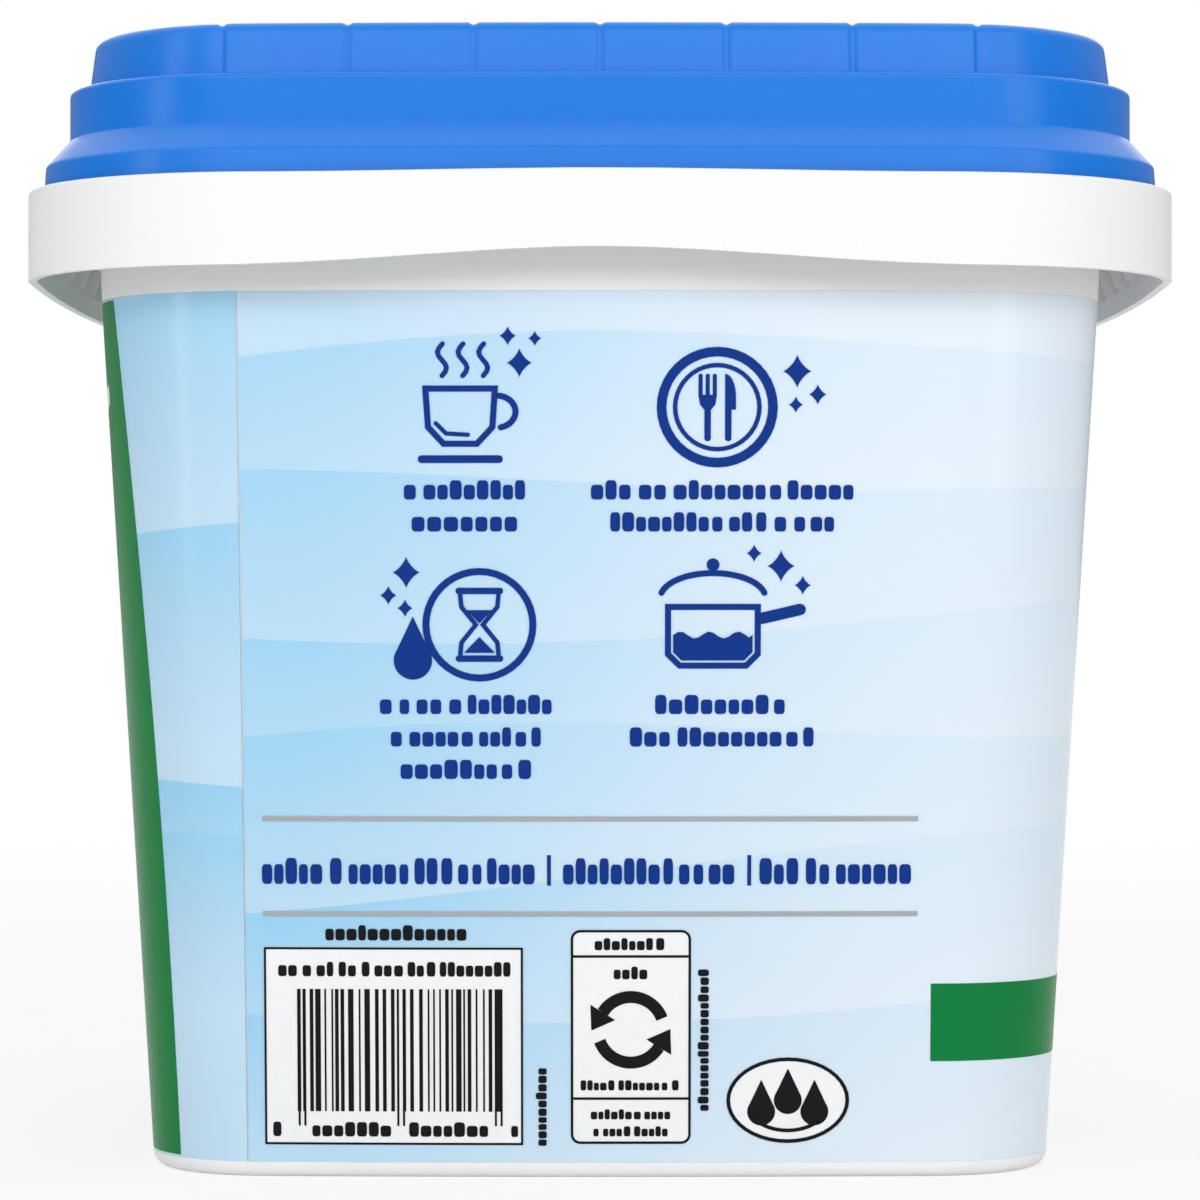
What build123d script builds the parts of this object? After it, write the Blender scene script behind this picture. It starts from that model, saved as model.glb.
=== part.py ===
from build123d import *
import math
import os
import random

# Dishwasher tablet tub. A square, tapered tub with gently bowed sides and a collar below its
# mouth, the printed label wrapped round its wall, a stepped lid that lifts off, and the
# tablets inside. Millimetres, +Z up. The origin is the middle of the foot, on the surface
# that the tub stands on, and the front is the side that faces -Y.

# --- Tub: outline and wall ---------------------------------------------------------------
foot_half = 73.6        # middle of the tub to the middle of each side, at the floor
side_bow = 2.35         # how far a side bows out beyond its sharp corners, at the floor
foot_corner = 19.5      # corner radius, at the floor
draft = 3.5             # slope of the wall, degrees
tub_height = 171.6      # floor to the tub's rim
tub_wall = 1.2
tub_floor = 1.6
foot_round = 2.2        # rounding of the outside bottom edge
inside_round = 2.0      # rounding where the wall meets the floor inside
foot_ring = 7.0         # width of the ring that the tub stands on
foot_recess = 0.6       # how far the middle of the foot is raised
rim_bead = 0.8          # how far the rolled rim stands out from the wall
rim_bead_height = 2.0

# --- Tub: collar -------------------------------------------------------------------------
collar_drop = 14.5      # rim down to the collar's lip
collar_height = 14.3    # lip down to the skirt's lower edge
collar_reach = 10.8     # wall to the outside of the collar, at the lip
collar_wall = 1.4
lip_round = 0.6
flange_drop = 4.5       # lip down to the flange that joins the collar to the wall
flange_thick = 1.3
arch_rise = 2.7         # the skirt's lower edge rises in the middle of the front and back
arch_half_span = 60.0
crown_rise = 0.5        # the lip rises a little over the arch
crown_half_span = 50.0

# --- Tub: ribs under the flange ----------------------------------------------------------
rib_thick = 1.0
rib_pitch = 16.0
ribs_each_side = 7
rib_raise = 3.3         # skirt's lower edge up to the ribs' lower edge
rib_ledge = 2.4         # level stretch of a rib, next to the skirt
rib_root = 1.0          # height of a rib over the arch that is cut in its lower edge
rib_arch_lean = 1.3     # how far each side of the arch leans in towards its top
rib_arch_round = 1.2
rib_foot = 1.0          # width of a rib's leg down the wall, at the ribs' lower edge

# --- Label -------------------------------------------------------------------------------
label_thick = 0.3
label_low = 2.5         # floor to the label's lower edge
label_top_gap = 3.2     # label's upper edge to the collar's skirt
label_seam = 0.3        # gap where the two ends of the label meet
label_seam_x = -55.6

# --- Lid ---------------------------------------------------------------------------------
lid_wall = 1.3
lid_seat_gap = 0.3      # rim to the underside of the lid's ledge
rim_play = 1.1          # rolled rim to the inside of the lid's middle band
lip_gap = 0.9           # collar lip to the outside of the lid's lower band
skirt_gap = 0.8         # flange to the lid's lower edge
mid_band_height = 7.9
shoulder_rise = 4.3     # sloping shoulder between the lower and the middle band
tier_step = 3.2         # middle band to the foot of the top tier
tier_height = 8.3
tier_lean = 1.1         # how far the top tier's side leans in over its height
band_flare = 0.5        # how far the lower band flares out towards the skirt's edge
ledge_round = 0.8
tier_round = 1.6
shoulder_round = 1.0
plug_wall = 1.1         # ring under the lid that goes inside the rim
plug_depth = 4.2        # how far the ring reaches below the rim
plug_play = 0.4
stack_play = 1.5        # shallow recess in the lid's top to the foot of a tub that stands in it
recess_depth = 1.2
recess_slope = 1.0      # how far the recess's edge slopes outwards
groove_radius = 1.4     # upright grooves round the top tier
groove_depth = 0.35
groove_pitch = 19.7
grooves_each_side = 7
groove_run = 7.0        # how far a groove runs in over the lid's top edge

# --- Tablets -----------------------------------------------------------------------------
headroom = 64.0         # rim down to the top of the tablets, at least
tablet_size = (32.0, 26.0, 17.0)
tablet_corner = 7.0     # corner radius seen from above
tablet_edge = 5.0       # rounding of the upper and lower edges
tablet_gap = 0.8        # between neighbours in a layer
layer_gap = 0.3         # between a layer and what it lies on
tablet_turn = 2.0       # most that a tablet is turned from the grid, degrees

# --- Worked out --------------------------------------------------------------------------
slope = math.tan(math.radians(draft))


def wall_half(z):
    """Middle of the tub to the outside of its wall at height z."""
    return foot_half + z * slope


collar_top = tub_height - collar_drop
collar_low = collar_top - collar_height
collar_half = wall_half(collar_top) + collar_reach
collar_inner = collar_half - collar_wall
flange_top = collar_top - flange_drop
flange_low = flange_top - flange_thick
label_high = collar_low - label_top_gap
rim_half = wall_half(tub_height) + rim_bead

ledge_low = tub_height + lid_seat_gap
ledge_top = ledge_low + lid_wall
lid_top = ledge_top + tier_height
mid_half = rim_half + rim_play + lid_wall
tier_half = mid_half - tier_step
band_half = collar_inner - lip_gap
shoulder_high = ledge_top - mid_band_height
shoulder_low = shoulder_high - shoulder_rise
skirt_low = flange_top + skirt_gap
plug_low = tub_height - plug_depth
plug_half = wall_half(plug_low) - tub_wall - plug_play
recess_half = foot_half + stack_play

# Circles that the foot's outline is made of: the bow of a side and the round of a corner.
tip = foot_half - side_bow
bow_radius = (tip ** 2 + side_bow ** 2) / (2 * side_bow)
bow_centre = bow_radius - foot_half
corner_centre = (math.sqrt(2 * (bow_radius - foot_corner) ** 2 - bow_centre ** 2) - bow_centre) / 2
corner_reach = math.sqrt(2) * corner_centre + foot_corner - foot_half
joint_angle = math.atan2(corner_centre, bow_centre + corner_centre)


def outline(z, half):
    """The rounded square at height z whose bowed sides are half away from the middle.

    Every level of the tub, the label and the lid is the foot's outline moved outwards, so
    that all bows and all corners share their centres.
    """
    bow = bow_radius + half - foot_half
    corner = foot_corner + half - foot_half
    joint_x = bow * math.sin(joint_angle)
    joint_y = bow * math.cos(joint_angle) - bow_centre
    corner_x = corner_centre + corner / math.sqrt(2)
    quarter = [
        Vector(-joint_x, -joint_y),
        Vector(0, -half),
        Vector(joint_x, -joint_y),
        Vector(corner_x, -corner_x),
        Vector(joint_y, -joint_x),
    ]
    with BuildSketch(Plane.XY.offset(z)) as level:
        with BuildLine():
            for turn in (0, 90, 180, 270):
                side = [point.rotate(Axis.Z, turn) for point in quarter]
                ThreePointArc(*side[:3])
                ThreePointArc(*side[2:])
        make_face()
    return level.sketch


def outline_place(half, x):
    """Distance out and turn in degrees of the outline's front side at x, half from the middle."""
    bow = bow_radius + half - foot_half
    corner = foot_corner + half - foot_half
    if abs(x) <= bow * math.sin(joint_angle):
        return math.sqrt(bow ** 2 - x ** 2) - bow_centre, math.degrees(math.asin(x / bow))
    beyond = abs(x) - corner_centre
    out = corner_centre + math.sqrt(corner ** 2 - beyond ** 2)
    return out, math.copysign(math.degrees(math.asin(beyond / corner)), x)


def spread(count, pitch):
    """Places of count things at an even pitch, centred on zero."""
    return [(i - (count - 1) / 2) * pitch for i in range(count)]


# --- Ribs: upright plates between the skirt and the wall, hanging from the flange ----------
def rib_profile(plane, shift):
    """One rib's outline on an upright plane whose first axis points outwards."""
    rib_low = collar_low + rib_raise
    arch_top = flange_low - rib_root
    skirt = collar_half + shift
    ledge = collar_inner + shift - rib_ledge
    wall = wall_half(rib_low) + shift
    with BuildSketch(plane) as profile:
        with BuildLine():
            Polyline(
                (skirt, flange_low),
                (skirt, rib_low),
                (ledge, rib_low),
                (ledge - rib_arch_lean, arch_top),
                (wall + rib_foot + rib_arch_lean, arch_top),
                (wall + rib_foot, rib_low),
                (wall - tub_wall, rib_low),
                (wall - tub_wall, flange_low),
                close=True,
            )
        make_face()
        arch = profile.vertices().filter_by_position(Axis.Y, arch_top - 0.01, arch_top + 0.01)
        fillet(arch, rib_arch_round)
    return profile.sketch


with BuildPart() as side_ribs:
    for x in spread(ribs_each_side, rib_pitch):
        rib_plane = Plane((x, 0, 0), x_dir=(0, -1, 0), z_dir=(-1, 0, 0))
        extrude(rib_profile(rib_plane, 0), amount=rib_thick / 2, both=True)
    corner_plane = Plane((0, 0, 0), x_dir=(1, -1, 0), z_dir=(-1, -1, 0))
    extrude(rib_profile(corner_plane, corner_reach), amount=rib_thick / 2, both=True)

with BuildPart() as under_collar:
    extrude(outline(collar_low, collar_inner), amount=flange_low - collar_low)
    with PolarLocations(0, 4):
        add(side_ribs.part, mode=Mode.SUBTRACT)


# --- Band of the wall that the label takes up ---------------------------------------------
def tapered(z, half, height, mode=Mode.ADD):
    """A block with the wall's slope, from the outline at height z upwards."""
    top = outline(z + height, half + height * slope)
    loft([outline(z, half), top], ruled=True, mode=mode)


label_height = label_high - label_low
label_outside = wall_half(label_low)

with BuildPart() as label_bed:
    extrude(outline(label_low, wall_half(label_high) + label_thick), amount=label_height)
    tapered(label_low, label_outside - label_thick, label_height, Mode.SUBTRACT)


# --- Tub: wall, foot, rim and collar in one moulding ----------------------------------------
def bell(half_span, z, rise):
    """A line along X at height z that rises smoothly to z + rise in its middle."""
    Spline((-half_span, z), (0, z + rise), (half_span, z), tangents=[(1, 0), (1, 0)])


with BuildPart() as tub:
    extrude(outline(collar_low, collar_half), amount=collar_height + crown_rise)
    with BuildSketch(Plane.XZ) as above_lip:
        with BuildLine():
            bell(crown_half_span, collar_top, crown_rise)
            Polyline(
                (crown_half_span, collar_top),
                (2 * collar_half, collar_top),
                (2 * collar_half, collar_top + 2 * crown_rise),
                (-2 * collar_half, collar_top + 2 * crown_rise),
                (-2 * collar_half, collar_top),
                (-crown_half_span, collar_top),
            )
        make_face()
    extrude(above_lip.sketch, amount=2 * collar_half, both=True, mode=Mode.SUBTRACT)
    lip = tub.edges().filter_by_position(Axis.Z, collar_top - 0.01, collar_top + crown_rise + 0.01)
    fillet(lip.filter_by(GeomType.LINE, reverse=True), lip_round)
    with BuildSketch(Plane.XZ) as under_arch:
        with BuildLine():
            bell(arch_half_span, collar_low, arch_rise)
            Line((arch_half_span, collar_low), (-arch_half_span, collar_low))
        make_face()
    extrude(under_arch.sketch, amount=2 * collar_half, both=True, mode=Mode.SUBTRACT)
    add(under_collar.part, mode=Mode.SUBTRACT)
    extrude(outline(flange_top, collar_inner), amount=tub_height, mode=Mode.SUBTRACT)
    tapered(0, foot_half, tub_height)
    fillet(tub.edges().group_by(Axis.Z)[0], foot_round)
    extrude(outline(tub_height - rim_bead_height, rim_half), amount=rim_bead_height)
    tapered(tub_floor, wall_half(tub_floor) - tub_wall, tub_height, Mode.SUBTRACT)
    floor_edges = tub.edges().filter_by_position(Axis.Z, tub_floor - 0.01, tub_floor + 0.01)
    fillet(floor_edges, inside_round)
    extrude(outline(0, foot_half - foot_ring), amount=foot_recess, mode=Mode.SUBTRACT)
    add(label_bed.part, mode=Mode.SUBTRACT)
tub.part.label = "tub"

# --- Label: a printed film wrapped round the wall, flush with it ----------------------------
with BuildPart() as label:
    tapered(label_low, label_outside, label_height)
    tapered(label_low, label_outside - label_thick, label_height, Mode.SUBTRACT)
    with Locations((label_seam_x, 0, label_low)):
        seam_align = (Align.CENTER, Align.MAX, Align.MIN)
        Box(label_seam, 2 * foot_half, label_height, align=seam_align, mode=Mode.SUBTRACT)
label.part.label = "label"

# --- Grooves of the lid's top tier: a round cutter that follows the tier over its top edge --
with BuildPart() as side_grooves:
    away = groove_radius - groove_depth
    lean = tier_lean / tier_height
    groove_out = away * math.hypot(1, lean)
    for x in spread(grooves_each_side, groove_pitch):
        out, turn = outline_place(tier_half, x)
        groove_plane = Plane(
            (x, -out, 0),
            x_dir=(math.sin(math.radians(turn)), -math.cos(math.radians(turn)), 0),
            z_dir=(-math.cos(math.radians(turn)), -math.sin(math.radians(turn)), 0),
        )
        with BuildLine(groove_plane) as route:
            FilletPolyline(
                (groove_out, ledge_top),
                (groove_out - (tier_height + away) * lean, lid_top + away),
                (-groove_run, lid_top + away),
                radius=tier_round + away,
            )
        start = route.line @ 0
        with BuildSketch(Plane(start, z_dir=route.line % 0)) as cutter:
            Circle(groove_radius)
        sweep(cutter.sketch, path=route.line)


# --- Lid: skirt, shoulder, middle band, ledge and top tier in one moulding ------------------
shoulder_slope = math.degrees(math.atan2(band_half - mid_half, shoulder_rise))
shoulder_shift = lid_wall * math.tan(math.radians(shoulder_slope) / 2)


def lid_body(inset, drop, mode):
    """The lid's skirt, shoulder and middle band, inset from the outside and let down by drop."""
    low = shoulder_low - drop
    high = shoulder_high - drop
    shoulder = outline(low, band_half - band_flare - inset)
    loft([outline(skirt_low, band_half - inset), shoulder], ruled=True, mode=mode)
    loft([shoulder, outline(high, mid_half - inset)], ruled=True, mode=mode)
    top = ledge_low if inset else ledge_top
    extrude(outline(high, mid_half - inset), amount=top - high, mode=mode)


def tier_body(inset, mode):
    """The lid's top tier, inset from the outside, with its side leaning in."""
    foot = outline(ledge_top - inset, tier_half - inset)
    loft([foot, outline(lid_top - inset, tier_half - tier_lean - inset)], ruled=True, mode=mode)


with BuildPart() as lid:
    lid_body(0, 0, Mode.ADD)
    fillet(lid.edges().group_by(Axis.Z)[-1], ledge_round)
    shoulder_edges = lid.edges().filter_by_position(Axis.Z, shoulder_low - 0.01, shoulder_low + 0.01)
    fillet(shoulder_edges, shoulder_round)
    tier_body(0, Mode.ADD)
    fillet(lid.edges().group_by(Axis.Z)[-1], tier_round)
    with PolarLocations(0, 4):
        add(side_grooves.part, mode=Mode.SUBTRACT)
    lid_body(lid_wall, shoulder_shift, Mode.SUBTRACT)
    tier_body(lid_wall, Mode.SUBTRACT)
    extrude(outline(ledge_low, tier_half), amount=lid_wall)
    extrude(outline(plug_low, plug_half), amount=ledge_low - plug_low)
    extrude(outline(plug_low, plug_half - plug_wall), amount=ledge_top - plug_low, mode=Mode.SUBTRACT)
    panel_low = lid_top - recess_depth - lid_wall
    extrude(outline(panel_low, recess_half + lid_wall), amount=lid_top - lid_wall / 2 - panel_low)
    recess_low = outline(lid_top - recess_depth, recess_half)
    recess_rim = outline(lid_top, recess_half + recess_slope)
    loft([recess_low, recess_rim], ruled=True, mode=Mode.SUBTRACT)
lid.part.label = "lid"


# --- Tablets: soft-edged pouches lying in layers on the tub's floor -------------------------
def tablet_places():
    """Where each tablet lies: layers laid crosswise by turns, each on the one below."""
    random.seed(7)
    long_side, short_side, thick = tablet_size
    inner_corner = foot_corner - tub_wall
    corner_room = max(inner_corner - tablet_corner, 0) * (1 - 1 / math.sqrt(2))
    room = 2 * (foot_half - tub_wall - side_bow - corner_room) + tablet_gap
    across = int(room // (long_side + tablet_gap))
    deep = int(room // (short_side + tablet_gap))
    layers = int((tub_height - headroom - tub_floor) // (thick + layer_gap))
    places = []
    for layer in range(layers):
        z = tub_floor + layer_gap + layer * (thick + layer_gap)
        crosswise = Location((0, 0, z), (0, 0, 90 * (layer % 2)))
        for y in spread(deep, short_side + tablet_gap):
            for x in spread(across, long_side + tablet_gap):
                turn = random.uniform(-tablet_turn, tablet_turn)
                places.append(crosswise * Location((x, y, 0), (0, 0, turn)))
    return places


with BuildPart() as tablet:
    with BuildSketch():
        RectangleRounded(tablet_size[0], tablet_size[1], tablet_corner)
    extrude(amount=tablet_size[2])
    fillet(tablet.edges().group_by(Axis.Z)[0] + tablet.edges().group_by(Axis.Z)[-1], tablet_edge)

with BuildPart() as tablets:
    with Locations(*tablet_places()):
        add(tablet.part)
tablets.part.label = "tablets"

os.makedirs("parts", exist_ok=True)
for piece in (tub, label, lid, tablets):
    export_step(piece.part, f"parts/{piece.part.label}.step")
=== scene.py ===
import math
import random

import bmesh
import bpy
from bpy.props import FloatProperty, FloatVectorProperty, IntProperty, PointerProperty
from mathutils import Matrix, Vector
from mathutils.geometry import tessellate_polygon


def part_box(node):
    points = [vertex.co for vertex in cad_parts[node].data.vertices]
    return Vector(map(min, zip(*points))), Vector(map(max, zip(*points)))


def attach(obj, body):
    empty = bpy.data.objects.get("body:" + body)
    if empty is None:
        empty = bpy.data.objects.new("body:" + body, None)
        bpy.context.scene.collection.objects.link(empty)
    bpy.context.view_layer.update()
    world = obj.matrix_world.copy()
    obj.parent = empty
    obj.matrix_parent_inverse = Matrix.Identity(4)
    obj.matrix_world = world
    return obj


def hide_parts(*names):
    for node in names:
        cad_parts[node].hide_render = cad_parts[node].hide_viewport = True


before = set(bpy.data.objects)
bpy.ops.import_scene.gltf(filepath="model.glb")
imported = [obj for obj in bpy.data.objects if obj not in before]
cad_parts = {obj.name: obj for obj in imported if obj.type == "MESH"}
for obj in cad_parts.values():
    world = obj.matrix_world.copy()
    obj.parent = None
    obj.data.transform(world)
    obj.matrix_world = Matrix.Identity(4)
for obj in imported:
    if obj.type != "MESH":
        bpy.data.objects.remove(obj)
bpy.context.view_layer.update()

bl_info = {
    "name": "Dishwasher tablet tub",
    "version": (1, 0, 0),
    "blender": (4, 5, 0),
    "location": "View3D > Sidebar > Tablet tub",
    "description": "Finishes the tub, prints its label, and makes its lid and tablets",
    "category": "Object",
}

LABEL_LOW, LABEL_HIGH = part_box("label")
LID_LOW, LID_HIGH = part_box("lid")
MM = 0.001
BOW_STEP = 4.9 * MM  # Between a mesh's stops along the bow of a side
CORNER_STEPS = {"lid": 28, "label": 24}  # A mesh's steps round a corner
WRAP_UNIT = 0.1  # Metres of label in one unit of its UV map


# --- Sizes and colours ---
def length(name, default, description):
    """A length property, given in millimetres and kept in metres."""
    return FloatProperty(
        name=name, default=default * MM, description=description, unit="LENGTH", precision=5
    )


def screen_to_linear(value):
    """The linear share of light for a screen value from 0 to 1."""
    return value / 12.92 if value <= 0.04045 else ((value + 0.055) / 1.055) ** 2.4


def colour(name, default, description):
    """A colour property, given as it looks on a screen, from 0 to 255."""
    return FloatVectorProperty(
        name=name,
        default=[screen_to_linear(v / 255) for v in default],
        description=description,
        subtype="COLOR",
        size=3,
        min=0,
        max=1,
    )


class WallSizes(bpy.types.PropertyGroup):
    """The tub's outline, which the lid, the label and the print all follow."""

    foot_half: length("Foot half width", 73.6, "Middle of the tub to a side, at the floor")
    side_bow: length("Side bow", 2.35, "How far a side bows out beyond its sharp corners")
    foot_corner: length("Foot corner radius", 19.5, "Corner radius at the floor")
    draft: FloatProperty(
        name="Draft", default=math.radians(3.5), subtype="ANGLE", description="Slope of the wall"
    )


class LidSizes(bpy.types.PropertyGroup):
    """The lid's steps, and the grooves round its top tier."""

    wall: length("Wall", 1.3, "Wall thickness")
    tier_height: length("Tier height", 8.3, "Ledge up to the lid's top")
    mid_band: length("Middle band", 7.9, "Height of the middle band")
    shoulder: length("Shoulder height", 4.3, "Height of the sloping shoulder")
    shoulder_run: length("Shoulder run", 4.413, "Skirt's edge in to the middle band")
    tier_step: length("Tier step", 3.2, "Middle band in to the foot of the top tier")
    tier_lean: length("Tier lean", 1.1, "How far the top tier leans in")
    band_flare: length("Band flare", 0.5, "How far the lower band flares out")
    plug_depth: length("Plug depth", 4.5, "How far the plug ring hangs below the ledge")
    plug_gap: length("Plug gap", 1.6, "Outside of the tub's wall in to the plug ring")
    plug_wall: length("Plug wall", 1.1, "Thickness of the plug ring")
    recess_half: length("Recess half width", 75.1, "Middle to the edge of the top's recess")
    recess_depth: length("Recess depth", 1.2, "Depth of the top's recess")
    recess_slope: length("Recess slope", 1.0, "How far the recess's edge slopes out")
    ledge_round: length("Ledge round", 0.8, "Radius of the middle band's top edge")
    tier_round: length("Tier round", 1.6, "Radius of the tier's top edge")
    shoulder_round: length("Shoulder round", 1.0, "Radius below the shoulder")
    groove_pitch: length("Groove pitch", 19.7, "Distance between grooves")
    groove_half: length("Groove half width", 0.95, "Middle of a groove to its edge")
    groove_depth: length("Groove depth", 0.36, "Depth of a groove")
    groove_run: length("Groove run", 7.0, "How far a groove runs in over the top")
    swell: length("Panel swell", 0.12, "How far the panel between two grooves swells")
    grooves: IntProperty(name="Grooves", default=7, min=1, description="Grooves on each side")


class TabletSizes(bpy.types.PropertyGroup):
    """The tablets and how they are laid."""

    long_side: length("Length", 32, "Length of a tablet")
    short_side: length("Width", 26, "Width of a tablet")
    thick: length("Thickness", 17, "Thickness of a tablet")
    corner: length("Corner radius", 7, "Radius of a tablet's corners from above")
    edge: length("Edge radius", 5, "Radius of a tablet's edges")
    gap: length("Gap", 0.8, "Gap between neighbours")
    layer_gap: length("Layer gap", 0.3, "Gap between layers")
    floor: length("Tub floor", 1.6, "Thickness of the tub's floor")
    across: IntProperty(name="Across", default=4, min=1, description="Tablets across a layer")
    deep: IntProperty(name="Deep", default=5, min=1, description="Rows of tablets in a layer")
    layers: IntProperty(name="Layers", default=6, min=1, description="Layers of tablets")
    turn: FloatProperty(name="Turn", default=2, description="Most a tablet is turned, in degrees")


class PrintSizes(bpy.types.PropertyGroup):
    """The label's film and the print on it."""

    film: length("Film", 0.3, "Thickness of the label")
    seam: length("Seam", -55.6, "Where the label's ends meet, across the front")
    seam_gap: length("Seam gap", 0.3, "Gap between the label's ends")
    ink: length("Ink", 0.03, "Thickness of a printed shape")
    level: length("Level", 0.04, "Step from one printed layer to the next")
    line: length("Line", 0.95, "Width of a drawn line in the wash symbols")


class Colours(bpy.types.PropertyGroup):
    """Colours of the plastics, the film and the inks."""

    lid_blue: colour("Lid blue", (3, 116, 214), "The lid's plastic")
    tub_white: colour("Tub white", (236, 236, 236), "The tub's plastic")
    # Sky and mist are the label's printed ground. Their blend across the front also carries painted
    # shade at the left and painted light at the right.
    sky: colour("Sky blue", (150, 203, 233), "Bluest part of the label's ground")
    mist: colour("Mist", (223, 231, 239), "Palest part of the label's ground")
    navy: colour("Navy", (0, 50, 134), "Ink of the wash symbols")
    green: colour("Green", (0, 122, 58), "Ink of the side panel and the band")
    black: colour("Black", (10, 12, 16), "Ink of the bars and frames")
    paper: colour("Paper white", (240, 241, 241), "Ground of the bar code and the frames")
    silver: colour("Silver", (172, 176, 180), "Ink of the rules")
    powder: colour("Powder", (222, 232, 240), "Pressed powder in a tablet")
    gel_blue: colour("Blue gel", (24, 92, 200), "Gel chamber in a tablet")
    gel_green: colour("Green gel", (52, 168, 96), "Gel chamber in a tablet")
    floor: colour("Floor", (244, 244, 244), "The floor it stands on")


class TubSettings(bpy.types.PropertyGroup):
    """All sizes and colours of the tub."""

    wall: PointerProperty(type=WallSizes)
    lid: PointerProperty(type=LidSizes)
    tablets: PointerProperty(type=TabletSizes)
    print: PointerProperty(type=PrintSizes)
    colours: PointerProperty(type=Colours)


def settings():
    """The scene's tub settings."""
    return bpy.context.scene.tablet_tub


# --- The wall: where every level of the tub runs ---
class Wall:
    """The rounded square that all levels follow.

    A place on it is a run round the foot's outline, counted to the right from the front's
    middle, and a height or a half width.
    """

    def __init__(self):
        sizes = settings().wall
        tip = sizes.foot_half - sizes.side_bow
        self.foot_half = sizes.foot_half
        self.slope = math.tan(sizes.draft)
        self.bow = (tip ** 2 + sizes.side_bow ** 2) / (2 * sizes.side_bow)
        self.corner = sizes.foot_corner
        self.back = self.bow - self.foot_half
        self.centre = (math.sqrt(2 * (self.bow - self.corner) ** 2 - self.back ** 2) - self.back) / 2
        self.joint = math.atan2(self.centre, self.back + self.centre)
        self.half_side = self.bow * self.joint
        self.corner_run = self.corner * (math.pi / 2 - 2 * self.joint)
        self.side = 2 * self.half_side + self.corner_run
        self.round = 4 * self.side

    def half(self, z):
        """Half width of the wall at height z."""
        return self.foot_half + z * self.slope

    def ray(self, run):
        """The foot outline's point at a run, and the direction outwards there."""
        quarter, along = divmod(run + self.half_side, self.side)
        along -= self.half_side
        if along <= self.half_side:
            angle = along / self.bow
            point = (self.bow * math.sin(angle), self.back - self.bow * math.cos(angle))
        else:
            angle = self.joint + (along - self.half_side) / self.corner
            reach_x = self.centre + self.corner * math.sin(angle)
            point = (reach_x, -self.centre - self.corner * math.cos(angle))
        out = (math.sin(angle), -math.cos(angle))
        for _ in range(int(quarter) % 4):
            point = (-point[1], point[0])
            out = (-out[1], out[0])
        return Vector((*point, 0)), Vector((*out, 0))

    def at_half(self, run, half, z):
        """The point at a run on the outline of a half width, at height z."""
        point, out = self.ray(run)
        return point + out * (half - self.foot_half) + Vector((0, 0, z))

    def on(self, run, z, lift=0.0):
        """The point on the wall at a run and a height, lifted off it."""
        return self.at_half(run, self.half(z) + lift, z)

    def run_at(self, half, across):
        """The run on the front's outline of that half width where it is across from the middle."""
        bow = self.bow + half - self.foot_half
        corner = self.corner + half - self.foot_half
        if abs(across) <= bow * math.sin(self.joint):
            return self.bow * math.asin(across / bow)
        angle = math.asin((abs(across) - self.centre) / corner)
        return math.copysign(self.half_side + self.corner * (angle - self.joint), across)

    def across(self, run, half):
        """How far the outline's point at a run is from the middle of its own side."""
        turns = round(run / self.side)
        return self.at_half(run - turns * self.side, half, 0).x

    def stops(self, bow_step, corner_steps):
        """Runs round the whole outline, from the front's left joint: even steps along each bow
        and round each corner."""
        runs = []
        bow_steps = round(2 * self.half_side / bow_step)
        for side in range(4):
            start = side * self.side - self.half_side
            runs += [start + 2 * self.half_side * i / bow_steps for i in range(bow_steps)]
            start += 2 * self.half_side
            runs += [start + self.corner_run * i / corner_steps for i in range(corner_steps)]
        return runs


# --- Meshes ---
def spread(count, pitch):
    """Places of count things at an even pitch, centred on zero."""
    return [(i - (count - 1) / 2) * pitch for i in range(count)]


def new_piece(name, mesh, material=None, sharp=None):
    """A piece from a bmesh: smooth, with edges sharper than an angle in degrees kept."""
    data = bpy.data.meshes.new(name)
    mesh.to_mesh(data)
    mesh.free()
    piece = bpy.data.objects.new(name, data)
    bpy.context.scene.collection.objects.link(piece)
    if material:
        data.materials.append(material)
    if sharp:
        data.shade_smooth()
        data.set_sharp_from_angle(angle=math.radians(sharp))
    return piece


def bake(piece):
    """Turn the piece's evaluated result into its plain mesh, and drop its modifiers."""
    graph = bpy.context.evaluated_depsgraph_get()
    data = bpy.data.meshes.new_from_object(piece.evaluated_get(graph), depsgraph=graph)
    piece.modifiers.clear()
    piece.data = data
    return piece


def section(points, steps=5, hold=0.0):
    """A path through (half, z, radius) points with rounded corners.

    Next to each rounding, an extra point holds the flat stretch flat under smooth shading.
    """
    path = []
    for i, (half, z, radius) in enumerate(points):
        here = Vector((half, z))
        if not radius:
            path.append(here)
            continue
        before = (Vector(points[i - 1][:2]) - here).normalized()
        after = (Vector(points[i + 1][:2]) - here).normalized()
        half_angle = before.angle(after) / 2
        reach = radius / math.tan(half_angle)
        middle = here + (before + after).normalized() * (radius / math.sin(half_angle))
        start = here + before * reach - middle
        end = here + after * reach - middle
        sweep = math.pi - 2 * half_angle
        if hold:
            path.append(here + before * (reach + hold))
        for step in range(steps + 1):
            share = step / steps
            spoke = start * math.sin((1 - share) * sweep) + end * math.sin(share * sweep)
            path.append(middle + spoke / math.sin(sweep))
        if hold:
            path.append(here + after * (reach + hold))
    return path


def lathe(mesh, wall, runs, path):
    """Carry a section round the wall's outline and close it by two flat caps.

    Returns its rows of corners.
    """
    rows = [[mesh.verts.new(wall.at_half(run, half, z)) for run in runs] for half, z in path]
    count = len(runs)
    for low, high in zip(rows, rows[1:]):
        for i in range(count):
            j = (i + 1) % count
            mesh.faces.new((low[i], low[j], high[j], high[i]))
    mesh.faces.new(rows[0][::-1])
    mesh.faces.new(rows[-1])
    return rows


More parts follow.
